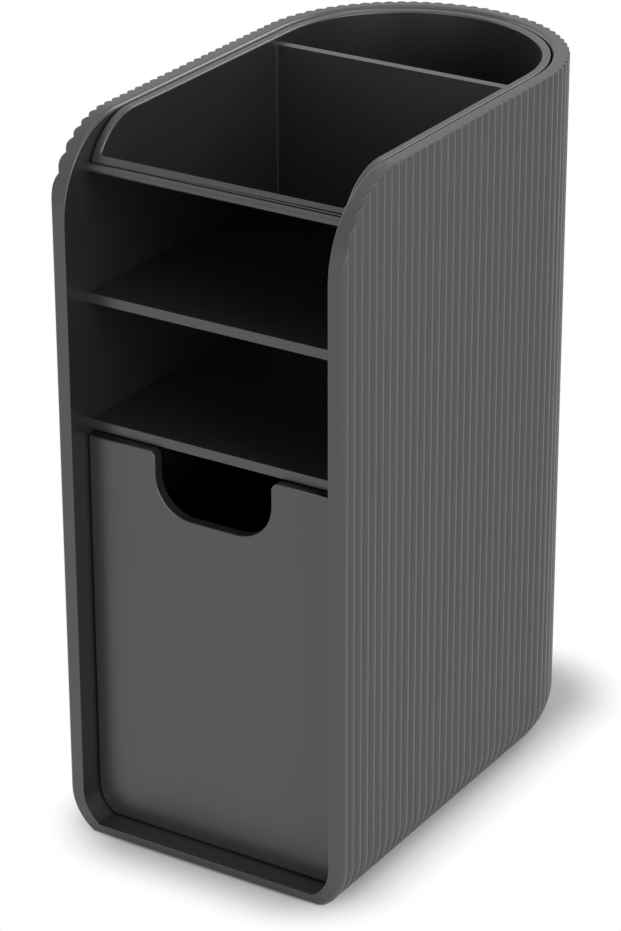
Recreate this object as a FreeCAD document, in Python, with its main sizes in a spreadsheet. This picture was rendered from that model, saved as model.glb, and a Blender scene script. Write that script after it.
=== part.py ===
import FreeCAD, Part
import math
import os
import re
import Sketcher
from FreeCAD import Placement, Rotation, Vector

# Desk organizer with a reeded shell, two open cubbies, a drawer and a lift-out pen cup.
# Millimetres. While the pieces are built, Y counts from the front face towards the back and
# Z counts from the shell's underside. Each finished piece is then moved by its Placement, so
# that the model stands on its foot pads with the origin under the middle of its box.

os.makedirs("parts", exist_ok=True)
doc = FreeCAD.newDocument("desk_organizer")

# ---------------------------------------------------------------- driving dimensions

sizes = {
    # shell
    "shell_width": 85.3,            # across the valleys between the reeds
    "shell_rise": 10.9,             # shell's top above the rail's top
    "shell_wall": 3.6,              # from a valley to the inside face
    "floor_thickness": 2.4,
    "reed_pitch": 3.41,
    "reed_height": 1.05,
    "reeds_per_side": 30,
    "front_curve_radius": 24.5,     # rounded top front corner, seen from the side
    "base_radius": 13.6,            # rounded lower edge, outside
    "base_cut": 1.7,                # how far that rounding would reach below the flat underside
    "inner_radius": 10.5,           # the same edge, inside
    "inner_cut": 1.6,               # how far it would reach below the floor
    # shelves
    "shelf_setback": 9.3,           # shelf fronts behind the shell's front face
    "shelf_thickness": 2.8,
    "lower_shelf_top": 118.5,
    "shelf_spacing": 35.6,          # from one shelf's top to the next
    "round_gap": 0.2,               # between a curved back edge and the shell
    # cradle under the cup
    "rail_rise": 35.0,              # rail's top above the middle shelf
    "rail_depth": 1.6,
    "rail_height": 1.9,
    "slope_foot_rise": 34.0,        # foot of the pocket's sloped floor above the lower shelf
    "leg_thickness": 2.4,
    # pen cup
    "cup_gap": 0.45,                # between the cup's side and the shell
    "cup_seat_gap": 0.2,
    "cup_wall": 2.4,
    "cup_front_wall": 1.05,
    "cup_floor": 1.3,
    "cup_rim_drop": 0.5,            # rim below the shell's top
    "cup_curve_radius": 18.3,       # rounded top front corner, which goes down behind the rail
    "cup_curve_end": 28.0,          # where that curve meets the straight rim
    "cup_corner_radius": 0.6,
    "cup_rail_gap": 0.6,
    "cup_leg_gap": 0.25,
    "pocket_corner_radius": 0.8,
    "pocket_floor_drop": 0.1,       # front pocket's floor starts this far below the rail's top
    "divider_setback": 4.8,         # divider's rear face in front of the pocket's round end
    "divider_thickness": 2.7,
    "divider_drop": 2.5,            # divider's top below the shell's top
    # drawer
    "drawer_setback": 6.9,
    "drawer_front_thickness": 3.2,
    "drawer_side_gap": 0.43,
    "drawer_floor_gap": 0.3,
    "drawer_top_gap": 0.6,
    "notch_width": 35.5,
    "notch_depth": 17.5,
    "notch_lower_radius": 10.7,
    "notch_upper_radius": 2.2,
    "drawer_edge_radius": 0.4,
    "tray_side_gap": 0.7,
    "tray_wall": 2.0,
    "tray_drop": 7.7,               # tray's edge below the lower shelf
    "runner_height": 0.5,
    "runner_width": 3.0,
    "runner_spacing": 44.0,
    "runner_gap": 0.1,
    "runner_front": 14.0,
    # drawer stop
    "stop_width": 3.0,
    "stop_length": 2.2,
    "stop_drop": 2.6,               # nub below the lower shelf
    "stop_gap": 2.5,                # from the drawer front's back to the nub
    "stop_inset": 5.0,              # middle of a stop from the shell's inside
    "stop_edge": 0.5,               # tray stop's corner inside the tray's outer face
    "stop_root": 2.0,               # how deep a stop is rooted in the tray's wall
    # foot pads
    "foot_radius": 5.0,
    "foot_thickness": 1.6,
    "foot_proud": 0.6,
    "foot_spacing": 50.0,
    "foot_front": 14.0,
    "foot_rear": 34.0,              # in front of the shell's back
    "foot_chamfer": 0.3,
    "foot_pocket_gap": 0.15,
    # extra length of a cutting tool past the face that it opens
    "overshoot": 1.0,
}

sheet = doc.addObject("Spreadsheet::Sheet", "Sizes")
for row, (alias, number) in enumerate(sizes.items(), start=1):
    sheet.set("A%d" % row, alias)
    sheet.set("B%d" % row, str(number))
    sheet.setAlias("B%d" % row, alias)
doc.recompute()


def cell(word):
    return "Sizes." + word.group() if word.group() in sizes else word.group()


def bound(formula):
    """The formula with every size in it pointing at its cell."""
    return re.sub(r"[a-z_]+", cell, formula)


def value(formula):
    """The formula's present value as a plain number."""
    return float(sheet.evalExpression(bound(formula)))


# ---------------------------------------------------------------- shared formulas

half_width = "(shell_width / 2)"
body_half = "(%s + reed_height)" % half_width
straight_run = "(reed_pitch * reeds_per_side)"
full_depth = "(%s + %s)" % (straight_run, body_half)
inner_half = "(%s - shell_wall)" % half_width
lower_shelf_base = "(lower_shelf_top - shelf_thickness)"
middle_shelf_top = "(lower_shelf_top + shelf_spacing)"
rail_top = "(%s + rail_rise)" % middle_shelf_top
rail_base = "(%s - rail_height)" % rail_top
shell_height = "(%s + shell_rise)" % rail_top
rail_back = "(shelf_setback + rail_depth)"
above_shell = "(%s + overshoot)" % shell_height
inner_centre = "(floor_thickness + inner_radius - inner_cut)"
base_centre = "(base_radius - base_cut)"

cup_half = "(%s - cup_gap)" % inner_half
pocket_half = "(%s - cup_wall)" % cup_half
cup_rim = "(%s - cup_rim_drop)" % shell_height
cup_face = "(%s + cup_rail_gap)" % rail_back
cup_pocket_front = "(%s + cup_front_wall)" % cup_face
cup_base = "(lower_shelf_top + cup_seat_gap)"
divider_back = "(%s - divider_setback)" % straight_run
divider_front = "(%s - divider_thickness)" % divider_back
divider_top = "(%s - divider_drop)" % shell_height

# The front pocket's sloped floor runs from just below the rail's top down to the divider. The
# cup's underside and the panel's top follow it at the floor's thickness and the seat gap, and
# the panel's underside is parallel to them and starts at the rail's lower front edge.
slope_top = "(%s - pocket_floor_drop)" % rail_top
slope_fall = "(%s - lower_shelf_top - slope_foot_rise)" % slope_top
slope = "(%s / (%s - %s))" % (slope_fall, divider_front, cup_pocket_front)
tilt = "sqrt(1 + %s ^ 2)" % slope
cup_underside = "(cup_floor * %s)" % tilt
panel_top = "((cup_floor + cup_seat_gap) * %s)" % tilt
panel_base = "(%s + (%s - shelf_setback) * %s - %s)" % (slope_top, cup_pocket_front, slope, rail_base)
leg_back = "(%s - cup_leg_gap)" % divider_front
leg_front = "(%s - leg_thickness)" % leg_back


def slope_height(along, below):
    """Height of the sloped face that lies 'below' under the pocket's floor, at depth 'along'."""
    return "(%s - (%s - %s) * %s - %s)" % (slope_top, along, cup_pocket_front, slope, below)


def slope_depth(height, below):
    """Depth at which that sloped face passes a height."""
    return "(%s + (%s - %s - %s) / %s)" % (cup_pocket_front, slope_top, below, height, slope)


drawer_back = "(drawer_setback + drawer_front_thickness)"
drawer_top = "(%s - drawer_top_gap)" % lower_shelf_base
tray_base = "(floor_thickness + runner_height + runner_gap)"
tray_top = "(%s - tray_drop)" % lower_shelf_base
tray_half = "(%s - tray_side_gap)" % inner_half
stop_front = "(%s + stop_gap)" % drawer_back
stop_side = "(%s - stop_inset)" % inner_half
stop_outer = "(%s + stop_width / 2)" % stop_side
stop_inner = "(%s - stop_width / 2)" % stop_side
stop_spans = [("stop_left", "-" + stop_outer, "-" + stop_inner), ("stop_right", stop_inner, stop_outer)]
# The tray's stops stand where their outer rear corners are just inside its round end.
tray_stop_back = "(%s + sqrt((%s - stop_edge) ^ 2 - %s ^ 2))" % (straight_run, tray_half, stop_outer)
tray_stop_front = "(%s - stop_length)" % tray_stop_back


# ---------------------------------------------------------------- sketch and solid helpers

ALONG_X = Vector(1, 0, 0)
ALONG_Z = Vector(0, 0, 1)
# Each view's loose placement, its origin plane in a body, and the axis that it is drawn along.
VIEWS = {
    "front": (Placement(Vector(), Rotation(ALONG_X, 90)), "XZ_Plane", "y", Vector(0, 1, 0)),
    "side": (Placement(Vector(), Rotation(Vector(1, 1, 1), 120)), "YZ_Plane", "x", ALONG_X),
    "plan": (Placement(), "XY_Plane", "z", ALONG_Z),
}
START, END = 1, 2


def line(across, up):
    return across, up, None, None


def arc(across, up, radius, side):
    """A minor arc to a point, with its centre on the left or right of the way there."""
    return across, up, radius, side


def draw(sketch, steps):
    """Draws the closed outline and ties every corner and radius to its formula."""
    corners = [Vector(value(across), value(up), 0) for across, up, _, _ in steps]
    for index, (_, _, radius, side) in enumerate(steps):
        start, end = corners[index - 1], corners[index]
        if radius is None:
            sketch.addGeometry(Part.LineSegment(start, end), False)
            continue
        chord = end - start
        normal = Vector(-chord.y, chord.x, 0).normalize() * (1 if side == "left" else -1)
        reach = math.sqrt(value(radius) ** 2 - (chord.Length / 2) ** 2)
        centre = (start + end) / 2 + normal * reach
        first, last = (start, end) if side == "left" else (end, start)
        angles = [math.atan2(p.y - centre.y, p.x - centre.x) for p in (first, last)]
        circle = Part.Circle(centre, ALONG_Z, value(radius))
        sketch.addGeometry(Part.ArcOfCircle(circle, *angles), False)

    def ends(index):
        return (END, START) if steps[index][3] == "right" else (START, END)

    for index, (across, up, radius, _) in enumerate(steps):
        following = (index + 1) % len(steps)
        finish, start = ends(index)[1], ends(following)[0]
        sketch.addConstraint(Sketcher.Constraint("Coincident", index, finish, following, start))
        for kind, formula in (("DistanceX", across), ("DistanceY", up)):
            distance = Sketcher.Constraint(kind, -1, 1, index, finish, value(formula))
            constraint = sketch.addConstraint(distance)
            sketch.setExpression("Constraints[%d]" % constraint, bound(formula))
        if radius is not None:
            constraint = sketch.addConstraint(Sketcher.Constraint("Radius", index, value(radius)))
            sketch.setExpression("Constraints[%d]" % constraint, bound(radius))
    return sketch


def loose_sketch(name, view, steps):
    sketch = doc.addObject("Sketcher::SketchObject", name + "_sketch")
    sketch.Placement = VIEWS[view][0]
    return draw(sketch, steps)


def new_body(name):
    body = doc.addObject("PartDesign::Body", name)
    body.Label = name
    return body


def body_sketch(body, name, view, steps, height=None):
    """A sketch on one of the body's own origin planes, lifted off it by 'height' if given."""
    sketch = body.newObject("Sketcher::SketchObject", name + "_sketch")
    plane = next(item for item in body.Origin.OriginFeatures if item.Role == VIEWS[view][1])
    sketch.AttachmentSupport = (plane, "")
    sketch.MapMode = "FlatFace"
    if height is not None:
        sketch.setExpression("AttachmentOffset.Base.z", bound(height))
    return draw(sketch, steps)


def pad(body, name, sketch, length, midplane=False, reverse=False):
    feature = body.newObject("PartDesign::Pad", name)
    feature.Profile = sketch
    feature.Midplane = midplane
    feature.Reversed = reverse
    feature.setExpression("Length", bound(length))
    doc.recompute()
    return feature


def extrusion(name, view, steps, length, start="0", symmetric=False):
    """A loose sketch drawn out along the axis of its view, from 'start' on that axis."""
    _, _, axis, direction = VIEWS[view]
    sketch = loose_sketch(name, view, steps)
    sketch.setExpression("Placement.Base.%s" % axis, bound(start))
    solid = doc.addObject("Part::Extrusion", name)
    solid.Base = sketch
    solid.DirMode = "Custom"
    solid.Dir = direction
    solid.Solid = True
    solid.Symmetric = symmetric
    solid.setExpression("LengthFwd", bound(length))
    return solid


def box(name, low, high):
    """A box between two corners given as formulas."""
    solid = doc.addObject("Part::Box", name)
    for axis, edge, first, last in zip("xyz", ("Length", "Width", "Height"), low, high):
        solid.setExpression("Placement.Base.%s" % axis, bound(first))
        solid.setExpression(edge, bound("(%s) - (%s)" % (last, first)))
    return solid


def fuse(name, shapes):
    joined = doc.addObject("Part::MultiFuse", name)
    joined.Shapes = shapes
    joined.Refine = True
    return joined


def cut(name, base, tool):
    result = doc.addObject("Part::Cut", name)
    result.Base = base
    result.Tool = tool
    return result


def common(name, shapes):
    shared = doc.addObject("Part::MultiCommon", name)
    shared.Shapes = shapes
    return shared


def hollow_sizes(gap, base):
    """Half width, corner radius and half width of the flat floor, 'gap' inside the shell's hollow."""
    half = "(%s - %s)" % (inner_half, gap)
    radius = "(inner_radius - %s)" % gap
    flat = "(%s - %s + sqrt(%s ^ 2 - (%s - %s) ^ 2))" % (half, radius, radius, inner_centre, base)
    return half, radius, flat


def hollow_section(gap, base, top):
    """Front view of the shell's hollow, or of what fits in it with 'gap' to the walls."""
    half, radius, flat = hollow_sizes(gap, base)
    return [
        line(flat, base),
        arc(half, inner_centre, radius, "left"),
        line(half, top),
        line("-%s" % half, top),
        line("-%s" % half, inner_centre),
        arc("-%s" % flat, base, radius, "left"),
    ]


def hollow_solid(name, gap, base, top, front):
    """That section drawn back to the half-round end and turned round it."""
    half, radius, flat = hollow_sizes(gap, base)
    run = extrusion(name + "_run", "front", hollow_section(gap, base, top),
                    "%s - (%s)" % (straight_run, front), start=front)
    sketch = loose_sketch(name + "_end", "front", [
        line("0", base),
        line(flat, base),
        arc(half, inner_centre, radius, "left"),
        line(half, top),
        line("0", top),
    ])
    sketch.setExpression("Placement.Base.y", bound(straight_run))
    end = doc.addObject("Part::Revolution", name + "_end")
    end.Source = sketch
    end.Axis = ALONG_Z
    end.Angle = 180
    end.Solid = True
    end.setExpression("Base.y", bound(straight_run))
    return fuse(name, [run, end])


def edges_at(shape, side, place):
    """Names of the edges whose box ends at one place, such as a flat face's own edges."""
    tolerance = 1e-6
    names = []
    for index, edge in enumerate(shape.Edges, start=1):
        if abs(getattr(edge.BoundBox, side) - place) < tolerance:
            names.append("Edge%d" % index)
    return names


def rounded_front(half, front, radius):
    """Plan outline from the left side, along a front with rounded corners, to the right side."""
    return [
        line("-%s" % half, "(%s + %s)" % (front, radius)),
        arc("-(%s - %s)" % (half, radius), front, radius, "left"),
        line("(%s - %s)" % (half, radius), front),
        arc(half, "(%s + %s)" % (front, radius), radius, "left"),
    ]


def round_back(half):
    """Plan outline round the half-round end, from the right side to the left side."""
    return [
        line(half, straight_run),
        arc("0", "(%s + %s)" % (straight_run, half), half, "left"),
        arc("-%s" % half, straight_run, half, "left"),
    ]


pieces = []


def finish(name, solid):
    """Names the finished piece and moves it to where the model stands."""
    solid.Label = name
    solid.setExpression("Placement.Base.y", bound("-%s / 2" % full_depth))
    solid.setExpression("Placement.Base.z", bound("foot_proud"))
    pieces.append(solid)


# ---------------------------------------------------------------- outer shell

foot_rear_place = "(%s - foot_rear)" % full_depth
feet = {
    "foot_front_left": ("-foot_spacing / 2", "foot_front"),
    "foot_front_right": ("foot_spacing / 2", "foot_front"),
    "foot_rear_left": ("-foot_spacing / 2", foot_rear_place),
    "foot_rear_right": ("foot_spacing / 2", foot_rear_place),
}


def reed_stations():
    """Foot point and outward direction of each valley and crest in turn, right, back, left."""
    run = value(straight_run)
    halves = 2 * int(value("reeds_per_side"))
    right = [(Vector(0, run * step / halves, 0), ALONG_X) for step in range(halves)]
    left = [(foot, -ALONG_X) for foot, _ in reversed(right)]
    # An odd number of reeds round the back leaves a crest at its middle.
    pairs = round((math.pi * value(half_width) / value("reed_pitch") - 1) / 2)
    turns = 2 * (2 * pairs + 1)
    angles = [math.pi * step / turns for step in range(turns + 1)]
    back = [(Vector(0, run, 0), Vector(math.cos(angle), math.sin(angle), 0)) for angle in angles]
    return right + back + left


def reeded_section(height, valley, crest):
    """Closed outline of the shell at one height: each reed is a low parabola."""
    points = []
    for index, (foot, outward) in enumerate(reed_stations()):
        points.append(foot + outward * (crest if index % 2 else valley) + ALONG_Z * height)
    edges = []
    for start, peak, end in zip(points[:-2:2], points[1::2], points[2::2]):
        curve = Part.BezierCurve()
        curve.setPoles([start, peak * 2 - (start + end) / 2, end])
        edges.append(curve.toShape())
    edges.append(Part.LineSegment(points[-1], points[0]).toShape())
    return Part.Wire(edges)


def reeded_block():
    """The shell's outside, solid: straight reeds that wrap round the rounded lower edge."""
    radius, centre = value("base_radius"), value(base_centre)
    reed = value("reed_height")
    middle = value(half_width) - radius
    lowest = math.asin(centre / radius)
    sections = []
    base_step_count = 6
    for step in range(base_step_count + 1):
        height = centre - radius * math.sin(lowest * (1 - step / base_step_count))
        valley = middle + math.sqrt(radius ** 2 - (centre - height) ** 2)
        crest = middle + math.sqrt((radius + reed) ** 2 - (centre - height) ** 2)
        sections.append(reeded_section(height, valley, crest))
    sections.append(reeded_section(value(shell_height), value(half_width), value(body_half)))
    return Part.makeLoft(sections, True, True)


def outer_shell():
    block = doc.addObject("Part::Feature", "reeded_block")
    block.Shape = reeded_block()
    hollow = hollow_solid("shell_hollow", "0", "floor_thickness", above_shell, "-overshoot")
    curve_base = "(%s - front_curve_radius)" % shell_height
    corner = extrusion("front_corner", "side", [
        line("0", curve_base),
        arc("front_curve_radius", shell_height, "front_curve_radius", "right"),
        line("front_curve_radius", above_shell),
        line("-overshoot", above_shell),
        line("-overshoot", curve_base),
    ], "2 * (%s + overshoot)" % body_half, symmetric=True)
    sockets = []
    for name, (across, along) in feet.items():
        socket = doc.addObject("Part::Cylinder", name + "_socket")
        socket.setExpression("Radius", bound("foot_radius + foot_pocket_gap"))
        socket.setExpression("Height", bound("overshoot + foot_thickness - foot_proud"))
        for axis, place in zip("xyz", (across, along, "-overshoot")):
            socket.setExpression("Placement.Base.%s" % axis, bound(place))
        sockets.append(socket)
    wall = cut("shell_wall_and_floor", block, fuse("shell_cuts", [hollow, corner] + sockets))
    runners = []
    for name, middle in (("runner_left", "-runner_spacing / 2"), ("runner_right", "runner_spacing / 2")):
        low = (middle + " - runner_width / 2", "runner_front", "floor_thickness / 2")
        high = (middle + " + runner_width / 2", straight_run, "floor_thickness + runner_height")
        runners.append(box(name, low, high))
    finish("outer_shell", fuse("outer_shell", [wall] + runners))


# ---------------------------------------------------------------- shelves and cradle


def cup_cradle():
    """Front rail, sloped panel and rear leg in one piece, as wide as the shell's hollow."""
    body = new_body("cup_cradle")
    sketch = body_sketch(body, "cradle_profile", "side", [
        line("shelf_setback", rail_top),
        line("shelf_setback", rail_base),
        line(leg_front, slope_height(leg_front, panel_base)),
        line(leg_front, "lower_shelf_top"),
        line(leg_back, "lower_shelf_top"),
        line(leg_back, slope_height(leg_back, panel_top)),
        line(rail_back, slope_height(rail_back, panel_top)),
        line(rail_back, rail_top),
    ])
    pad(body, "cradle_pad", sketch, "2 * %s" % inner_half, midplane=True)
    finish("cup_cradle", body)


def middle_shelf():
    """Upper cubby's floor, which ends against the sloped panel's underside."""
    body = new_body("middle_shelf")
    base = "(%s - shelf_thickness)" % middle_shelf_top
    sketch = body_sketch(body, "middle_shelf_profile", "side", [
        line("shelf_setback", base),
        line(slope_depth(base, panel_base), base),
        line(slope_depth(middle_shelf_top, panel_base), middle_shelf_top),
        line("shelf_setback", middle_shelf_top),
    ])
    pad(body, "middle_shelf_pad", sketch, "2 * %s" % inner_half, midplane=True)
    finish("middle_shelf", body)


def lower_shelf():
    """Full-depth shelf over the drawer, with two stops under its front edge."""
    body = new_body("lower_shelf")
    reach = "(%s - round_gap)" % inner_half
    radius = "((%s ^ 2 + %s ^ 2) / (2 * %s))" % (inner_half, reach, reach)
    sketch = body_sketch(body, "lower_shelf_plan", "plan", [
        line(inner_half, "shelf_setback"),
        line(inner_half, straight_run),
        arc("0", "(%s + %s)" % (straight_run, reach), radius, "left"),
        arc("-%s" % inner_half, straight_run, radius, "left"),
        line("-%s" % inner_half, "shelf_setback"),
    ], height=lower_shelf_base)
    pad(body, "lower_shelf_pad", sketch, "shelf_thickness")
    nub_back = "(%s + stop_length)" % stop_front
    for name, low, high in stop_spans:
        sketch = body_sketch(body, name + "_plan", "plan", [
            line(high, stop_front),
            line(high, nub_back),
            line(low, nub_back),
            line(low, stop_front),
        ], height=lower_shelf_base)
        pad(body, name, sketch, "stop_drop", reverse=True)
    finish("lower_shelf", body)


# ---------------------------------------------------------------- pen cup


def pen_cup():
    """Lift-out cup: a shallow front pocket with a sloped floor and a deep rear pocket."""
    plan = extrusion("cup_plan", "plan", rounded_front(cup_half, cup_face, "cup_corner_radius")
                     + round_back(cup_half), above_shell)
    curve_rise = "sqrt(cup_curve_radius ^ 2 - (cup_curve_end - %s) ^ 2)" % cup_face
    front_rim = "(%s - cup_curve_radius + %s)" % (cup_rim, curve_rise)
    behind = "(%s + overshoot)" % full_depth
    side = extrusion("cup_side", "side", [
        line(cup_face, slope_height(cup_face, cup_underside)),
        line(divider_front, slope_height(divider_front, cup_underside)),
        line(divider_front, cup_base),
        line(behind, cup_base),
        line(behind, cup_rim),
        line("cup_curve_end", cup_rim),
        arc(cup_face, front_rim, "cup_curve_radius", "left"),
    ], "shell_width", symmetric=True)
    outside = common("cup_outside", [plan, side])

    corner = "pocket_corner_radius"
    corner_start = "(%s - %s)" % (divider_front, corner)
    front_outline = rounded_front(pocket_half, cup_pocket_front, corner) + [
        line(pocket_half, corner_start),
        arc("(%s - %s)" % (pocket_half, corner), divider_front, corner, "left"),
        line("-(%s - %s)" % (pocket_half, corner), divider_front),
        arc("-%s" % pocket_half, corner_start, corner, "left"),
    ]
    front_plan = extrusion("front_pocket_plan", "plan", front_outline, above_shell)
    front_side = extrusion("front_pocket_side", "side", [
        line(divider_front, slope_height(divider_front, "0")),
        line(divider_front, above_shell),
        line(cup_pocket_front, above_shell),
        line(cup_pocket_front, slope_height(cup_pocket_front, "0")),
    ], "shell_width", symmetric=True)
    front_pocket = common("front_pocket", [front_plan, front_side])

    rear_floor = "(%s + cup_floor)" % cup_base
    rear_pocket = extrusion("rear_pocket", "plan", rounded_front(pocket_half, divider_back, corner)
                            + round_back(pocket_half), "%s - %s" % (above_shell, rear_floor),
                            start=rear_floor)
    low = ("-%s" % pocket_half, corner_start, divider_top)
    high = (pocket_half, "%s + %s" % (divider_back, corner), above_shell)
    over_divider = box("over_divider", low, high)
    finish("pen_cup", cut("pen_cup", outside, fuse("cup_pockets", [front_pocket, rear_pocket, over_divider])))


# ---------------------------------------------------------------- drawer


def notch_outline():
    """Front view of the finger notch, open at the top and flared there."""
    half = "(notch_width / 2)"
    flare = "(%s + notch_upper_radius)" % half
    flare_base = "(%s - notch_upper_radius)" % drawer_top
    base = "(%s - notch_depth)" % drawer_top
    curve_top = "(%s + notch_lower_radius)" % base
    flat = "(%s - notch_lower_radius)" % half
    above = "(%s + overshoot)" % drawer_top
    return [
        line(flare, drawer_top),
        arc(half, flare_base, "notch_upper_radius", "left"),
        line(half, curve_top),
        arc(flat, base, "notch_lower_radius", "right"),
        line("-%s" % flat, base),
        arc("-%s" % half, curve_top, "notch_lower_radius", "right"),
        line("-%s" % half, flare_base),
        arc("-%s" % flare, drawer_top, "notch_upper_radius", "left"),
        line("-%s" % flare, above),
        line(flare, above),
    ]


def drawer_front():
    """Front plate with the finger notch and rounded face edges."""
    body = new_body("drawer_front")
    section = hollow_section("drawer_side_gap", "(floor_thickness + drawer_floor_gap)", drawer_top)
    sketch = body_sketch(body, "drawer_face", "front", section, height="-%s" % drawer_back)
    panel = pad(body, "drawer_face_pad", sketch, "drawer_front_thickness")
    opening = body_sketch(body, "notch", "front", notch_outline(), height="-%s" % drawer_back)
    pocket = body.newObject("PartDesign::Pocket", "notch_pocket")
    pocket.Profile = opening
    pocket.Midplane = True
    pocket.setExpression("Length", bound("2 * (drawer_front_thickness + overshoot)"))
    doc.recompute()
    if pocket.Shape.Volume >= panel.Shape.Volume:
        raise RuntimeError("the finger notch cut nothing")
    rounding = body.newObject("PartDesign::Fillet", "drawer_face_edges")
    rounding.Base = (pocket, edges_at(pocket.Shape, "YMax", value("drawer_setback")))
    rounding.setExpression("Radius", bound("drawer_edge_radius"))
    finish("drawer_front", body)


def drawer_tray():
    """Trough that the drawer front closes, with two stops on its round end."""
    outside = hollow_solid("tray_outside", "tray_side_gap", tray_base, tray_top, drawer_back)
    inside = hollow_solid("tray_inside", "(tray_side_gap + tray_wall)", "(%s + tray_wall)" % tray_base,
                          "(%s + overshoot)" % tray_top, "(%s - overshoot)" % drawer_back)
    tray = cut("tray_trough", outside, inside)
    stops = []
    for name, low, high in stop_spans:
        stops.append(box("tray_" + name, (low, tray_stop_front, "%s - stop_root" % tray_top),
                         (high, tray_stop_back, drawer_top)))
    finish("drawer_tray", fuse("drawer_tray", [tray] + stops))


# ---------------------------------------------------------------- foot pads


def foot_pad(name, across, along):
    body = new_body(name)
    disc = body.newObject("PartDesign::AdditiveCylinder", name + "_disc")
    disc.setExpression("Radius", bound("foot_radius"))
    disc.setExpression("Height", bound("foot_thickness"))
    for axis, place in zip("xyz", (across, along, "-foot_proud")):
        disc.setExpression("Placement.Base.%s" % axis, bound(place))
    doc.recompute()
    chamfer = body.newObject("PartDesign::Chamfer", name + "_chamfer")
    chamfer.Base = (disc, edges_at(disc.Shape, "ZMax", -value("foot_proud")))
    chamfer.setExpression("Size", bound("foot_chamfer"))
    finish(name, body)


# ---------------------------------------------------------------- build, check, write

outer_shell()
cup_cradle()
middle_shelf()
lower_shelf()
pen_cup()
drawer_front()
drawer_tray()
for foot_name, (foot_across, foot_along) in feet.items():
    foot_pad(foot_name, foot_across, foot_along)

doc.recompute()
for item in doc.Objects:
    if {"Invalid", "Error"} & set(item.State):
        raise RuntimeError("%s: %s" % (item.Name, item.State))
for piece in pieces:
    if piece.Shape.isNull() or not piece.Shape.isValid():
        raise RuntimeError("%s has no valid shape" % piece.Label)
    if len(piece.Shape.Solids) != 1:
        raise RuntimeError("%s is %d solids" % (piece.Label, len(piece.Shape.Solids)))
for piece in pieces:
    piece.Shape.exportStep("parts/%s.step" % piece.Label)
    print("%-18s %9.1f mm3" % (piece.Label, piece.Shape.Volume))
print("drawer travel %.2f mm" % value("%s - %s - stop_length" % (tray_stop_front, stop_front)))
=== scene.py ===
import math

import bmesh
import bpy
from mathutils import Matrix, Vector


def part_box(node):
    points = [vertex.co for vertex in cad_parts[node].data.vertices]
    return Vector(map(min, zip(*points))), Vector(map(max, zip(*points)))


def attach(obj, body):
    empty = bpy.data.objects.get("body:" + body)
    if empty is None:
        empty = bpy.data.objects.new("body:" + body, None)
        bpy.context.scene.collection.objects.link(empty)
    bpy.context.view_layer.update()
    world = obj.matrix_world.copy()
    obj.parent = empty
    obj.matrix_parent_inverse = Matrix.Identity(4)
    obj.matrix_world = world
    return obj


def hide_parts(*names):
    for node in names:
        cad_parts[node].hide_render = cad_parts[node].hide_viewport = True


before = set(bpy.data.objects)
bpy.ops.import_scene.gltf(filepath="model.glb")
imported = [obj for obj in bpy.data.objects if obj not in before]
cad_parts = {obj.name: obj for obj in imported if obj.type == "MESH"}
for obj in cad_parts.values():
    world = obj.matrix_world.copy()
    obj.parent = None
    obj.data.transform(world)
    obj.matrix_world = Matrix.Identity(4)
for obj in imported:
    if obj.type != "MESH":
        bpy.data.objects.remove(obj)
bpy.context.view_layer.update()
print("frame loaded:", ", ".join(sorted(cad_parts)))

mm = 0.001


# Materials

plastic = {
    "colour": (0.024, 0.024, 0.0244),
    "sheen": 0.95,              # the shader's specular level
    "roughness": 0.32,
    "roughnessSpread": 0.05,    # how far it wanders over the surface
    "toneSpread": 0.05,         # same for the colour, as a share of it
    "patchSize": 22 * mm,
    "grainSize": 0.28 * mm,     # fine spark texture of the mould
    "grainHeight": 0.004 * mm,
}
rubber = dict(plastic, colour=(0.025, 0.025, 0.025), sheen=0.3, roughness=0.85,
              grainSize=0.5 * mm, grainHeight=0.02 * mm)
noiseSpan = (0.3, 0.7)          # where nearly all of a noise's values lie
patchDetail = 3
grainDetail = 2


def addNode(tree, kind, place, **settings):
    node = tree.nodes.new(kind)
    node.location = place
    for name, value in settings.items():
        setattr(node, name, value)
    return node


def noiseNode(tree, place, coordinates, size, detail):
    noise = addNode(tree, "ShaderNodeTexNoise", place)
    noise.inputs["Scale"].default_value = 1 / size
    noise.inputs["Detail"].default_value = detail
    tree.links.new(coordinates, noise.inputs["Vector"])
    return noise.outputs["Fac"]


def rangeNode(tree, place, value, low, high):
    ranged = addNode(tree, "ShaderNodeMapRange", place)
    ranged.inputs["From Min"].default_value, ranged.inputs["From Max"].default_value = noiseSpan
    ranged.inputs["To Min"].default_value = low
    ranged.inputs["To Max"].default_value = high
    tree.links.new(value, ranged.inputs["Value"])
    return ranged.outputs["Result"]


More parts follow.
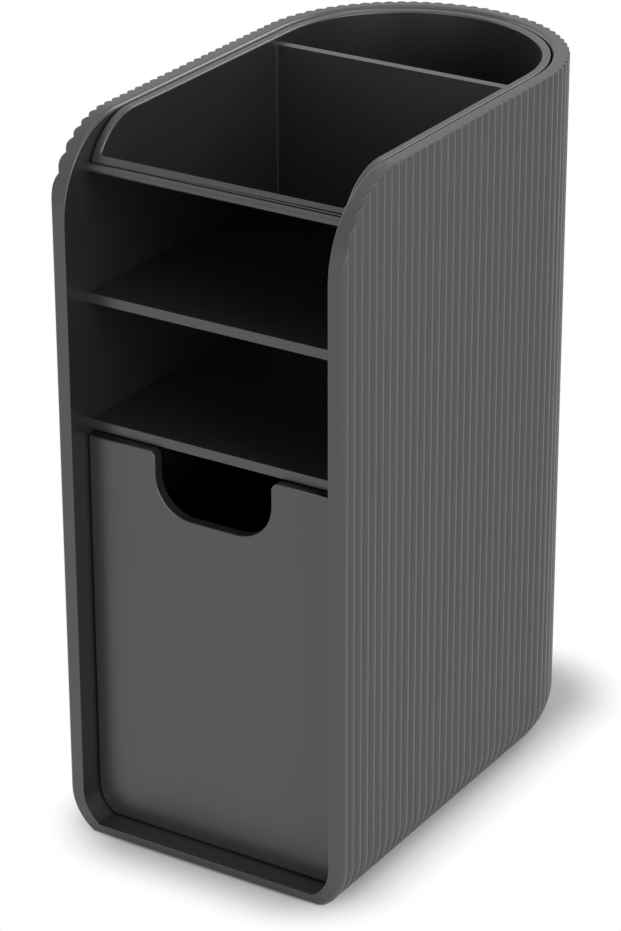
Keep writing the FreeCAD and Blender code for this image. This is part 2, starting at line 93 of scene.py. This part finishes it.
def mouldedFinish(name, look):
    material = bpy.data.materials.new(name)
    material.use_nodes = True
    tree = material.node_tree
    shader = tree.nodes["Principled BSDF"]
    shader.inputs["Specular IOR Level"].default_value = look["sheen"]
    coordinates = addNode(tree, "ShaderNodeTexCoord", (-1100, 0)).outputs["Object"]
    patches = noiseNode(tree, (-900, 200), coordinates, look["patchSize"], patchDetail)
    grain = noiseNode(tree, (-900, -200), coordinates, look["grainSize"], grainDetail)

    # slow drift of tone and gloss, as on any large moulding
    low = tuple(c * (1 - look["toneSpread"]) for c in look["colour"])
    high = tuple(c * (1 + look["toneSpread"]) for c in look["colour"])
    tone = addNode(tree, "ShaderNodeMix", (-400, 250), data_type="RGBA")
    tone.inputs["A"].default_value = (*low, 1)
    tone.inputs["B"].default_value = (*high, 1)
    tree.links.new(rangeNode(tree, (-650, 250), patches, 0, 1), tone.inputs["Factor"])
    tree.links.new(tone.outputs["Result"], shader.inputs["Base Color"])
    wander = look["roughnessSpread"] / 2
    gloss = rangeNode(tree, (-650, 0), patches,
                      look["roughness"] + wander, look["roughness"] - wander)
    tree.links.new(gloss, shader.inputs["Roughness"])

    bump = addNode(tree, "ShaderNodeBump", (-400, -200))
    bump.inputs["Strength"].default_value = 1
    bump.inputs["Distance"].default_value = look["grainHeight"]
    tree.links.new(grain, bump.inputs["Height"])
    tree.links.new(bump.outputs["Normal"], shader.inputs["Normal"])
    return material


shellFinish = mouldedFinish("shellPlastic", plastic)
cupFinish = mouldedFinish("cupPlastic", plastic)
drawerFinish = mouldedFinish("drawerPlastic", plastic)
footFinish = mouldedFinish("footRubber", rubber)
print("materials made")


# Shell: a wall of reeds that stands on a rounded lower edge, as one surface drawn by rule

low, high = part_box("outer_shell")
shell = {
    "reedHeight": 1.05 * mm,
    "reedsPerSide": 30,
    "reedsRoundBack": 39,
    "stepsPerReed": 10,
    "wall": 3.6 * mm,
    "floor": 2.4 * mm,
    "baseRadius": 13.6 * mm,
    "baseCut": 1.7 * mm,        # how far the rounding would reach below the underside
    "innerRadius": 10.5 * mm,
    "innerCut": 1.6 * mm,
    "cornerSteps": 8,
    "frontCurve": 24.5 * mm,    # rounded top front corner
    "rimRadius": 1.2 * mm,      # inner edge of the rim at the top
    "frontRimRadius": 0.12 * mm,    # same edge down the front
    "rimSteps": 5,
    "edgeRounding": 0.2 * mm,
    "edgeSteps": 2,
}
shell["front"] = low.y
shell["base"] = low.z
shell["top"] = high.z
shell["halfWidth"] = high.x - shell["reedHeight"]
shell["run"] = high.y - low.y - high.x
shellInputs = {"Half Width": "halfWidth", "Wall": "wall", "Floor": "floor", "Level": "base",
               "Top": "top", "Front": "front", "Run": "run", "Front Curve": "frontCurve",
               "Base Radius": "baseRadius", "Base Cut": "baseCut", "Inner Radius": "innerRadius",
               "Inner Cut": "innerCut", "Reed Height": "reedHeight",
               "Reeds Per Side": "reedsPerSide", "Reeds Round Back": "reedsRoundBack",
               "Steps Per Reed": "stepsPerReed", "Corner Steps": "cornerSteps",
               "Rim Radius": "rimRadius", "Front Rim Radius": "frontRimRadius",
               "Rim Steps": "rimSteps"}
weldReach = 0.001 * mm
countSlack = 0.001              # share of a reed or row that a count may be off by


def newTree(name, inputs, outputs):
    tree = bpy.data.node_groups.new(name, "GeometryNodeTree")
    for socketName, kind in inputs.items():
        tree.interface.new_socket(socketName, in_out="INPUT", socket_type="NodeSocket" + kind)
    for socketName, kind in outputs.items():
        tree.interface.new_socket(socketName, in_out="OUTPUT", socket_type="NodeSocket" + kind)
    return tree, tree.nodes.new("NodeGroupInput").outputs, tree.nodes.new("NodeGroupOutput").inputs


def feed(tree, socket, value):
    if isinstance(value, bpy.types.NodeSocket):
        tree.links.new(value, socket)
    else:
        socket.default_value = value


def calc(tree, operation, *values, clamp=False):
    node = tree.nodes.new("ShaderNodeMath")
    node.operation = operation
    node.use_clamp = clamp
    for socket, value in zip(node.inputs, values):
        feed(tree, socket, value)
    return node.outputs[0]


def move(tree, operation, *values):
    node = tree.nodes.new("ShaderNodeVectorMath")
    node.operation = operation
    sockets = (node.inputs[0], node.inputs["Scale"]) if operation == "SCALE" else node.inputs
    for socket, value in zip(sockets, values):
        feed(tree, socket, value)
    return node.outputs["Value" if operation == "LENGTH" else "Vector"]


def between(tree, start, end, share):
    reach = calc(tree, "SUBTRACT", end, start)
    return calc(tree, "MULTIPLY_ADD", reach, share, start)


def wallRule():
    # Where a point of the shell's skin lies: "Reed" counts along the wall from the right front
    # edge round the back to the left front edge, and "Row" counts from the middle of the
    # underside (0) to its edge (1), up the rounded corner and then to the top of the wall.
    sizes = ["Reed", "Row", "Half Width", "Corner Radius", "Corner Cut", "Level", "Reed Height",
             "Reeds Per Side", "Reeds Round Back", "Run", "Front", "Top", "Front Curve",
             "Corner Steps", "Inset", "Front Inset"]
    inputs = {name: "Float" for name in sizes}
    tree, given, wanted = newTree("wallRule", inputs, {"Position": "Vector"})
    reeds = calc(tree, "MULTIPLY_ADD", given["Reeds Per Side"], 2, given["Reeds Round Back"])
    fromEnd = calc(tree, "SUBTRACT", reeds, given["Reed"])
    pitch = calc(tree, "DIVIDE", given["Run"], given["Reeds Per Side"])
    fromFront = calc(tree, "MINIMUM", given["Reed"], fromEnd)
    straight = calc(tree, "MINIMUM", fromFront, given["Reeds Per Side"])
    depth = calc(tree, "MULTIPLY", straight, pitch)
    pastSide = calc(tree, "SUBTRACT", given["Reed"], given["Reeds Per Side"])
    roundShare = calc(tree, "DIVIDE", pastSide, given["Reeds Round Back"], clamp=True)
    turn = calc(tree, "MULTIPLY", roundShare, math.pi)

    # each reed is a low parabola on the wall
    phase = calc(tree, "FRACT", given["Reed"])
    swell = calc(tree, "MULTIPLY", phase, calc(tree, "SUBTRACT", 1, phase))
    reed = calc(tree, "MULTIPLY", calc(tree, "MULTIPLY", swell, 4), given["Reed Height"])

    # rounded lower corner, cut off by the flat underside
    radius = calc(tree, "ADD", given["Corner Radius"], reed)
    centreRise = calc(tree, "SUBTRACT", given["Corner Radius"], given["Corner Cut"])
    centre = calc(tree, "ADD", given["Level"], centreRise)
    pastUnderside = calc(tree, "SUBTRACT", given["Row"], 1)
    cornerShare = calc(tree, "DIVIDE", pastUnderside, given["Corner Steps"], clamp=True)
    lowest = calc(tree, "ARCSINE", calc(tree, "DIVIDE", centreRise, radius))
    angle = calc(tree, "MULTIPLY", lowest, calc(tree, "SUBTRACT", 1, cornerShare))
    cornerMiddle = calc(tree, "SUBTRACT", given["Half Width"], given["Corner Radius"])
    reach = calc(tree, "MULTIPLY_ADD", radius, calc(tree, "COSINE", angle), cornerMiddle)
    across = calc(tree, "MULTIPLY", reach, calc(tree, "MINIMUM", given["Row"], 1))
    belowCentre = calc(tree, "MULTIPLY", radius, calc(tree, "SINE", angle))
    cornerHeight = calc(tree, "SUBTRACT", centre, belowCentre)

    # the wall's top follows the rounded front corner
    inCurve = calc(tree, "MINIMUM", depth, given["Front Curve"])
    ahead = calc(tree, "SUBTRACT", 1, calc(tree, "DIVIDE", inCurve, given["Front Curve"]))
    steepness = calc(tree, "SUBTRACT", 1, calc(tree, "POWER", ahead, 2))
    rise = calc(tree, "SQRT", steepness)
    curveBase = calc(tree, "SUBTRACT", given["Top"], given["Front Curve"])
    topHeight = calc(tree, "MULTIPLY_ADD", given["Front Curve"], rise, curveBase)
    wallShare = calc(tree, "SUBTRACT", pastUnderside, given["Corner Steps"], clamp=True)
    height = between(tree, cornerHeight, topHeight, wallShare)

    # a skin that stops short of the rim does so square to it, by one inset in front and one on top
    atFront = calc(tree, "LESS_THAN", straight, countSlack)
    atTop = calc(tree, "GREATER_THAN", wallShare, 1 - countSlack)
    widestInset = between(tree, given["Front Inset"], given["Inset"], steepness)
    inset = calc(tree, "MULTIPLY", calc(tree, "MAXIMUM", atFront, atTop), widestInset)
    back = calc(tree, "MULTIPLY", inset, ahead)
    height = calc(tree, "SUBTRACT", height, calc(tree, "MULTIPLY", inset, rise))

    position = tree.nodes.new("ShaderNodeCombineXYZ")
    feed(tree, position.inputs["X"], calc(tree, "MULTIPLY", across, calc(tree, "COSINE", turn)))
    behind = calc(tree, "MULTIPLY", across, calc(tree, "SINE", turn))
    wallDepth = calc(tree, "ADD", given["Front"], depth)
    feed(tree, position.inputs["Y"], calc(tree, "ADD", wallDepth, calc(tree, "ADD", behind, back)))
    feed(tree, position.inputs["Z"], height)
    tree.links.new(position.outputs["Vector"], wanted["Position"])
    return tree


def shellTree():
    inputs = {"Geometry": "Geometry", "Finish": "Material"}
    for name, key in shellInputs.items():
        inputs[name] = "Int" if isinstance(shell[key], int) else "Float"
    tree, given, wanted = newTree("reededShell", inputs, {"Geometry": "Geometry"})
    rule = wallRule()
    reeds = calc(tree, "MULTIPLY_ADD", given["Reeds Per Side"], 2, given["Reeds Round Back"])
    columns = calc(tree, "MULTIPLY", reeds, given["Steps Per Reed"])
    rows = calc(tree, "ADD", given["Corner Steps"], 2)
    place = tree.nodes.new("ShaderNodeSeparateXYZ")
    gridPlace = tree.nodes.new("GeometryNodeInputPosition")
    tree.links.new(gridPlace.outputs["Position"], place.inputs["Vector"])
    along = calc(tree, "ADD", place.outputs["X"], 0.5)
    up = calc(tree, "ADD", place.outputs["Y"], 0.5)

    def skin(reed, row, inner, inset=False):
        node = tree.nodes.new("GeometryNodeGroup")
        node.node_tree = rule
        shared = ["Reeds Per Side", "Reeds Round Back", "Run", "Front", "Top", "Front Curve",
                  "Corner Steps"]
        names = {name: name for name in shared}
        names["Corner Radius"] = "Inner Radius" if inner else "Base Radius"
        names["Corner Cut"] = "Inner Cut" if inner else "Base Cut"
        for socketName, givenName in names.items():
            tree.links.new(given[givenName], node.inputs[socketName])
        values = {"Reed": reed, "Row": row, "Half Width": given["Half Width"],
                  "Level": given["Level"], "Reed Height": given["Reed Height"]}
        if inner:
            values["Half Width"] = calc(tree, "SUBTRACT", given["Half Width"], given["Wall"])
            values["Level"] = calc(tree, "ADD", given["Level"], given["Floor"])
            values["Reed Height"] = 0
        if inset:
            values["Inset"] = given["Rim Radius"]
            values["Front Inset"] = given["Front Rim Radius"]
        for socketName, value in values.items():
            feed(tree, node.inputs[socketName], value)
        return node.outputs["Position"]

    def sheet(across, upward, position):
        grid = tree.nodes.new("GeometryNodeMeshGrid")
        feed(tree, grid.inputs["Vertices X"], calc(tree, "ADD", across, 1))
        feed(tree, grid.inputs["Vertices Y"], calc(tree, "ADD", upward, 1))
        moved = tree.nodes.new("GeometryNodeSetPosition")
        tree.links.new(grid.outputs["Mesh"], moved.inputs["Geometry"])
        tree.links.new(position, moved.inputs["Position"])
        return moved.outputs["Geometry"]

    reed = calc(tree, "MULTIPLY", along, reeds)
    row = calc(tree, "MULTIPLY", up, rows)
    outside = tree.nodes.new("GeometryNodeStoreNamedAttribute")
    outside.data_type = "BOOLEAN"
    outside.domain = "FACE"
    outside.inputs["Name"].default_value = "outside"
    outside.inputs["Value"].default_value = True
    tree.links.new(sheet(columns, rows, skin(reed, row, False)), outside.inputs["Geometry"])
    inside = sheet(columns, rows, skin(reed, row, True, inset=True))

    # rim from skin to skin, up the right front edge, round the top and down the left one: flat
    # and then rounded over to the inside
    rimSteps = calc(tree, "MULTIPLY_ADD", rows, 2, columns)
    step = calc(tree, "MULTIPLY", along, rimSteps)
    pastRight = calc(tree, "SUBTRACT", step, rows)
    rimReed = calc(tree, "MULTIPLY", calc(tree, "DIVIDE", pastRight, columns, clamp=True), reeds)
    beforeLeft = calc(tree, "SUBTRACT", rimSteps, step)
    rimRow = calc(tree, "MINIMUM", calc(tree, "MINIMUM", step, beforeLeft), rows)
    outerEdge = skin(rimReed, rimRow, False)
    corner = skin(rimReed, rimRow, True)
    drop = move(tree, "SUBTRACT", skin(rimReed, rimRow, True, inset=True), corner)
    outward = move(tree, "NORMALIZE", move(tree, "SUBTRACT", outerEdge, corner))
    reach = move(tree, "SCALE", outward, move(tree, "LENGTH", drop))
    stepsAcross = calc(tree, "ADD", given["Rim Steps"], 1)
    acrossStep = calc(tree, "MULTIPLY", up, stepsAcross)
    pastFlat = calc(tree, "SUBTRACT", acrossStep, 1)
    quarter = calc(tree, "DIVIDE", pastFlat, given["Rim Steps"], clamp=True)
    turn = calc(tree, "MULTIPLY", quarter, math.pi / 2)
    flat = move(tree, "SUBTRACT", move(tree, "ADD", corner, reach), outerEdge)
    flatShare = calc(tree, "MINIMUM", acrossStep, 1)
    flatPart = move(tree, "ADD", outerEdge, move(tree, "SCALE", flat, flatShare))
    roundOut = move(tree, "SCALE", reach, calc(tree, "SINE", turn))
    roundDown = move(tree, "SCALE", drop, calc(tree, "SUBTRACT", 1, calc(tree, "COSINE", turn)))
    rimPlace = move(tree, "ADD", move(tree, "SUBTRACT", flatPart, roundOut), roundDown)
    rim = sheet(rimSteps, stepsAcross, rimPlace)

    joined = tree.nodes.new("GeometryNodeJoinGeometry")
    for part in (outside.outputs["Geometry"], inside, rim):
        tree.links.new(part, joined.inputs["Geometry"])
    welded = tree.nodes.new("GeometryNodeMergeByDistance")
    welded.inputs["Distance"].default_value = weldReach
    tree.links.new(joined.outputs["Geometry"], welded.inputs["Geometry"])
    real = tree.nodes.new("GeometryNodeRealizeInstances")
    tree.links.new(welded.outputs["Geometry"], real.inputs["Geometry"])
    painted = tree.nodes.new("GeometryNodeSetMaterial")
    tree.links.new(real.outputs["Geometry"], painted.inputs["Geometry"])
    tree.links.new(given["Finish"], painted.inputs["Material"])
    tree.links.new(painted.outputs["Geometry"], wanted["Geometry"])
    return tree


def meshFromTree(name, tree, values):
    holder = bpy.data.objects.new(name + "Rule", bpy.data.meshes.new(name + "Rule"))
    bpy.context.scene.collection.objects.link(holder)
    modifier = holder.modifiers.new("rule", "NODES")
    modifier.node_group = tree
    for item in tree.interface.items_tree:
        if item.in_out == "INPUT" and item.name in values:
            modifier[item.identifier] = values[item.name]
    made = holder.evaluated_get(bpy.context.evaluated_depsgraph_get())
    mesh = bpy.data.meshes.new_from_object(made)
    holder.modifiers.clear()
    bpy.data.objects.remove(holder)
    mesh.name = name
    return mesh


def addPiece(name, mesh, body, finish, replaced):
    piece = bpy.data.objects.new(name, mesh)
    bpy.context.scene.collection.objects.link(piece)
    mesh.materials.clear()
    mesh.materials.append(finish)
    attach(piece, body)
    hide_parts(*replaced)


hardShading = math.radians(40)  # edges that turn by more are shaded as hard ones
sizeWeight = 100                # how much large faces set the shading of small ones beside them


def withModifier(mesh, kind, **settings):
    holder = bpy.data.objects.new("holder", mesh)
    bpy.context.scene.collection.objects.link(holder)
    modifier = holder.modifiers.new("work", kind)
    for name, value in settings.items():
        setattr(modifier, name, value)
    made = holder.evaluated_get(bpy.context.evaluated_depsgraph_get())
    result = bpy.data.meshes.new_from_object(made)
    bpy.data.objects.remove(holder)
    return result


def smoothBySize(name, mesh):
    # soft shading that keeps flat faces flat beside their rounded edges
    mesh.shade_smooth()
    mesh.set_sharp_from_angle(angle=hardShading)
    result = withModifier(mesh, "WEIGHTED_NORMAL", keep_sharp=True, weight=sizeWeight)
    result.name = name
    return result


def makeShell():
    values = {name: shell[key] for name, key in shellInputs.items()}
    mesh = meshFromTree("reededShell", shellTree(), {**values, "Finish": shellFinish})
    work = bmesh.new()
    work.from_mesh(mesh)
    bmesh.ops.dissolve_degenerate(work, dist=weldReach / 10, edges=work.edges)
    bmesh.ops.recalc_face_normals(work, faces=work.faces)
    outside = work.faces.layers.bool["outside"]
    edges = [edge for edge in work.edges
             if edge.is_manifold and edge.link_faces[0][outside] != edge.link_faces[1][outside]]
    bmesh.ops.bevel(work, geom=edges, offset=shell["edgeRounding"], offset_type="OFFSET",
                    segments=shell["edgeSteps"], profile=0.5, affect="EDGES", clamp_overlap=True)
    work.to_mesh(mesh)
    work.free()
    mesh = smoothBySize("reededShell", mesh)
    addPiece("reededShell", mesh, "housing", shellFinish, ["outer_shell"])
    print("shell:", len(mesh.polygons), "faces")


makeShell()


# Two low ribs on the shell's floor that the drawer slides on, sunk in it so that they join it

runners = {
    "spacing": 44.0 * mm,
    "width": 3.0 * mm,
    "height": 0.5 * mm,
    "front": 14.0 * mm,         # start behind the shell's front
    "rounding": 0.15 * mm,
    "edgeSteps": 3,
}


def makeRunners():
    work = bmesh.new()
    start = shell["front"] + runners["front"]
    end = shell["front"] + shell["run"]
    bottom = shell["base"] + shell["floor"] / 2
    top = shell["base"] + shell["floor"] + runners["height"]
    for side in (-1, 1):
        centre = (side * runners["spacing"] / 2, (start + end) / 2, (bottom + top) / 2)
        size = Matrix.Diagonal((runners["width"], end - start, top - bottom, 1))
        bmesh.ops.create_cube(work, size=1, matrix=Matrix.Translation(centre) @ size)
    mesh = bpy.data.meshes.new("drawerRunners")
    work.to_mesh(mesh)
    work.free()
    mesh = withModifier(mesh, "BEVEL", limit_method="ANGLE", width=runners["rounding"],
                        segments=runners["edgeSteps"])
    mesh = smoothBySize("drawerRunners", mesh)
    addPiece("drawerRunners", mesh, "housing", shellFinish, ["outer_shell"])
    print("runners:", len(mesh.polygons), "faces")


makeRunners()


# The plain mouldings keep their solids' shape and get round edges

mouldings = {
    "pen_cup": {
        "name": "penCup", "body": "cup", "slot": "cup_plastic", "finish": cupFinish,
        "edge": 0.3 * mm,
        "pocket": 0.6 * mm,         # rim's edge over the pockets
        "divider": 0.6 * mm,        # top of the divider
        "dividerDrop": 2.0 * mm,    # that top below the rim
        "dividerReach": 12 * mm,    # and how far in front of the round end's middle it may lie
        "dividerEnd": 3.3 * mm,     # within this of the cup's side it stays square
    },
    "drawer_front": {
        "name": "drawerFace", "body": "drawer", "slot": "drawer_plastic", "finish": drawerFinish,
        "edge": 0.3 * mm,
        "face": 0.6 * mm,           # within this of its front the solid has round edges already
    },
    "drawer_tray": {
        "name": "drawerTray", "body": "drawer", "slot": "drawer_plastic", "finish": drawerFinish,
        "edge": 0.3 * mm,
    },
    "cup_cradle": {
        "name": "cupCradle", "body": "housing", "slot": "shell_plastic", "finish": shellFinish,
        "edge": 0.12 * mm,
        "brow": 1.1 * mm,           # top front edge
        "chin": 0.6 * mm,           # the edge below it
    },
    "middle_shelf": {
        "name": "middleShelf", "body": "housing", "slot": "shell_plastic", "finish": shellFinish,
        "edge": 0.12 * mm,
    },
    "lower_shelf": {
        "name": "lowerShelf", "body": "housing", "slot": "shell_plastic", "finish": shellFinish,
        "edge": 0.12 * mm,
    },
}
feet = ["foot_front_left", "foot_front_right", "foot_rear_left", "foot_rear_right"]
sharpCorner = math.radians(35)
flatTurn = math.radians(0.3)    # faces that turn by less are one face
edgeSteps = 4
heightSlack = 0.5 * mm
placeSlack = 0.01 * mm
facesWall = 0.99                # share of a normal that lies across the shell
facesUp = 0.1                   # and upward


def facingPocket(face, roundCentre):
    # 1 for an upright face that looks straight across the cup, 0 for one that doesn't
    centre = face.calc_center_median()
    inward = Vector((-centre.x, roundCentre - max(centre.y, roundCentre), 0)).normalized()
    return max(face.normal.dot(inward), 0) if abs(face.normal.z) < facesUp else 0


def edgeWidth(edge, look, low, high, roundCentre):
    # pieces that are fixed between the shell's walls stay square there
    ends = [face for face in edge.link_faces if abs(face.normal.x) > facesWall]
    if ends and look["body"] == "housing":
        return 0
    middle = (edge.verts[0].co + edge.verts[1].co) / 2
    if min(vertex.co.y for vertex in edge.verts) < low.y + look.get("face", 0):
        return 0
    inFront = middle.y - low.y < placeSlack
    if "brow" in look and inFront and high.z - middle.z < placeSlack:
        return look["brow"]
    if "chin" in look and inFront and edge.is_convex:
        return look["chin"]

    # the cup's rim is rounder over the pockets and on the divider
    upper = [face for face in edge.link_faces if face.normal.z > facesUp]
    if "pocket" not in look or not upper or not edge.is_convex:
        return look["edge"]
    offDividerTop = abs(high.z - middle.z - look["dividerDrop"])
    if offDividerTop < heightSlack and middle.y > roundCentre - look["dividerReach"]:
        return look["divider"] if high.x - abs(middle.x) > look["dividerEnd"] else 0
    across = max(facingPocket(face, roundCentre) for face in edge.link_faces)
    return look["edge"] + across * (look["pocket"] - look["edge"])


def makeMoulding(node, look):
    low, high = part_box(node)
    roundCentre = shell["front"] + shell["run"]
    widest = max(look.get(kind, 0) for kind in ("edge", "pocket", "divider", "brow", "chin"))
    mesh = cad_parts[node].data.copy()
    work = bmesh.new()
    work.from_mesh(mesh)
    bmesh.ops.remove_doubles(work, verts=work.verts, dist=weldReach)
    bmesh.ops.dissolve_limit(work, angle_limit=flatTurn, verts=work.verts, edges=work.edges)
    work.normal_update()
    weight = work.edges.layers.float.new("bevel_weight_edge")
    for edge in work.edges:
        if edge.is_manifold and edge.calc_face_angle() > sharpCorner:
            edge[weight] = edgeWidth(edge, look, low, high, roundCentre) / widest
    work.to_mesh(mesh)
    work.free()
    mesh = withModifier(mesh, "BEVEL", limit_method="WEIGHT", width=widest, segments=edgeSteps,
                        use_clamp_overlap=False)
    mesh = smoothBySize(look["name"], mesh)
    addPiece(look["name"], mesh, look["body"], look["finish"], [node])
    print("moulding:", look["name"], len(mesh.polygons), "faces")


for node, look in mouldings.items():
    makeMoulding(node, look)
for node in feet:
    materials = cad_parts[node].data.materials
    materials.clear()
    materials.append(footFinish)
print("feet finished")


# Floor, light and camera

def mirroredRay(tree, rays):
    return calc(tree, "MAXIMUM", rays.outputs["Is Glossy Ray"], rays.outputs["Is Transmission Ray"])


floor = {
    "size": 6.0,
    "colour": 0.64,             # where it is seen
    "glow": 0.06,
    "bounceColour": 0.35,       # as the light that it throws back sees it
    "footprint": (0.021, 0.056),    # half width and depth of the block that shadows start from
    "shadowReach": (0.014, 0.036),  # they fade out to plain white between these distances
}


def makeFloor():
    material = bpy.data.materials.new("paleFloor")
    material.use_nodes = True
    material.cycles.emission_sampling = "NONE"
    tree = material.node_tree
    tree.nodes.clear()

    def mixed(share, first, second):
        mix = tree.nodes.new("ShaderNodeMixShader")
        feed(tree, mix.inputs[0], share)
        tree.links.new(first, mix.inputs[1])
        tree.links.new(second, mix.inputs[2])
        return mix.outputs[0]

    def matt(tone):
        shader = tree.nodes.new("ShaderNodeBsdfDiffuse")
        shader.inputs["Color"].default_value = (tone, tone, tone, 1)
        return shader.outputs[0]

    def glowing(strength):
        shader = tree.nodes.new("ShaderNodeEmission")
        shader.inputs["Strength"].default_value = strength
        return shader.outputs[0]

    lit = tree.nodes.new("ShaderNodeAddShader")
    tree.links.new(matt(floor["colour"]), lit.inputs[0])
    tree.links.new(glowing(floor["glow"]), lit.inputs[1])
    place = move(tree, "ABSOLUTE", tree.nodes.new("ShaderNodeTexCoord").outputs["Object"])
    past = move(tree, "SUBTRACT", place, (*floor["footprint"], 0))
    past = move(tree, "MAXIMUM", past, (0, 0, 0))
    fade = tree.nodes.new("ShaderNodeMapRange")
    fade.interpolation_type = "SMOOTHSTEP"
    feed(tree, fade.inputs["Value"], move(tree, "LENGTH", past))
    nearest, furthest = floor["shadowReach"]
    fade.inputs["From Min"].default_value = nearest
    fade.inputs["From Max"].default_value = furthest
    rays = tree.nodes.new("ShaderNodeLightPath")
    seen = calc(tree, "MAXIMUM", rays.outputs["Is Camera Ray"], mirroredRay(tree, rays))
    shown = mixed(fade.outputs["Result"], lit.outputs[0], glowing(1))
    output = tree.nodes.new("ShaderNodeOutputMaterial")
    tree.links.new(mixed(seen, matt(floor["bounceColour"]), shown), output.inputs["Surface"])
    work = bmesh.new()
    bmesh.ops.create_grid(work, x_segments=1, y_segments=1, size=floor["size"] / 2)
    mesh = bpy.data.meshes.new("floor")
    work.to_mesh(mesh)
    work.free()
    mesh.materials.append(material)
    ground = bpy.data.objects.new("floor", mesh)
    bpy.context.scene.collection.objects.link(ground)


lights = {
    "front": {"azimuth": 0, "elevation": 12, "width": 0.7, "height": 0.5, "power": 3},
    "frontRight": {"azimuth": 55, "elevation": 8, "width": 0.8, "height": 0.4, "power": 3.4},
    "right": {"azimuth": 75, "elevation": 30, "width": 0.8, "height": 0.6, "power": 7},
    "back": {"azimuth": 166, "elevation": 38, "width": 0.6, "height": 0.5, "power": 4.4},
    "top": {"azimuth": 0, "elevation": 90, "width": 0.9, "height": 0.9, "power": 2},
    "left": {"azimuth": -90, "elevation": 25, "width": 1.2, "height": 1.0, "power": 4},
}
lampDistance = 1.4
aim = Vector((0, 0, 0.1))


def lampPlace(azimuth, elevation):
    # azimuth 0 is in front of the object and 90 on its right
    a = math.radians(azimuth)
    e = math.radians(elevation)
    toward = Vector((math.sin(a) * math.cos(e), -math.cos(a) * math.cos(e), math.sin(e)))
    return aim + lampDistance * toward


def makeLights():
    for name, look in lights.items():
        data = bpy.data.lights.new(name, "AREA")
        data.shape = "RECTANGLE"
        data.size = look["width"]
        data.size_y = look["height"]
        data.energy = look["power"]
        lamp = bpy.data.objects.new(name, data)
        lamp.location = lampPlace(look["azimuth"], look["elevation"])
        lamp.rotation_euler = (aim - lamp.location).to_track_quat("-Z", "Y").to_euler()
        bpy.context.scene.collection.objects.link(lamp)


sky = {
    "fill": 0.24,               # light that it throws on the object
    "reflected": 0.8,           # as mirrored in it
    "background": 1.0,          # as the camera sees it
}


def makeSky():
    world = bpy.data.worlds.new("studio")
    world.use_nodes = True
    tree = world.node_tree
    tree.nodes.clear()
    rays = tree.nodes.new("ShaderNodeLightPath")
    strength = between(tree, sky["fill"], sky["reflected"], mirroredRay(tree, rays))
    strength = between(tree, strength, sky["background"], rays.outputs["Is Camera Ray"])
    background = tree.nodes.new("ShaderNodeBackground")
    background.inputs["Color"].default_value = (1, 1, 1, 1)
    feed(tree, background.inputs["Strength"], strength)
    output = tree.nodes.new("ShaderNodeOutputWorld")
    tree.links.new(background.outputs["Background"], output.inputs["Surface"])
    bpy.context.scene.world = world


view = {
    "place": (0.4506, -0.7343, 0.4888),
    "azimuth": 32.042,
    "elevation": 24.469,
    "roll": -0.107,
    "lens": 134.5,
    "film": 36,                 # its longer side, in mm like the lens
    "shift": (-0.0097, -0.0234),
    "nearest": 0.05,
}


def makeCamera():
    data = bpy.data.cameras.new("camera")
    data.sensor_width = view["film"]
    data.lens = view["lens"]
    data.shift_x, data.shift_y = view["shift"]
    data.clip_start = view["nearest"]
    camera = bpy.data.objects.new("camera", data)
    turn = Matrix.Rotation(math.radians(view["azimuth"]), 4, "Z")
    tilt = Matrix.Rotation(math.radians(90 - view["elevation"]), 4, "X")
    roll = Matrix.Rotation(math.radians(view["roll"]), 4, "Z")
    camera.matrix_world = Matrix.Translation(view["place"]) @ turn @ tilt @ roll
    bpy.context.scene.collection.objects.link(camera)
    bpy.context.scene.camera = camera


makeFloor()
makeLights()
makeSky()
makeCamera()
bpy.context.scene.view_settings.view_transform = "Standard"
print("stage, light and camera made")
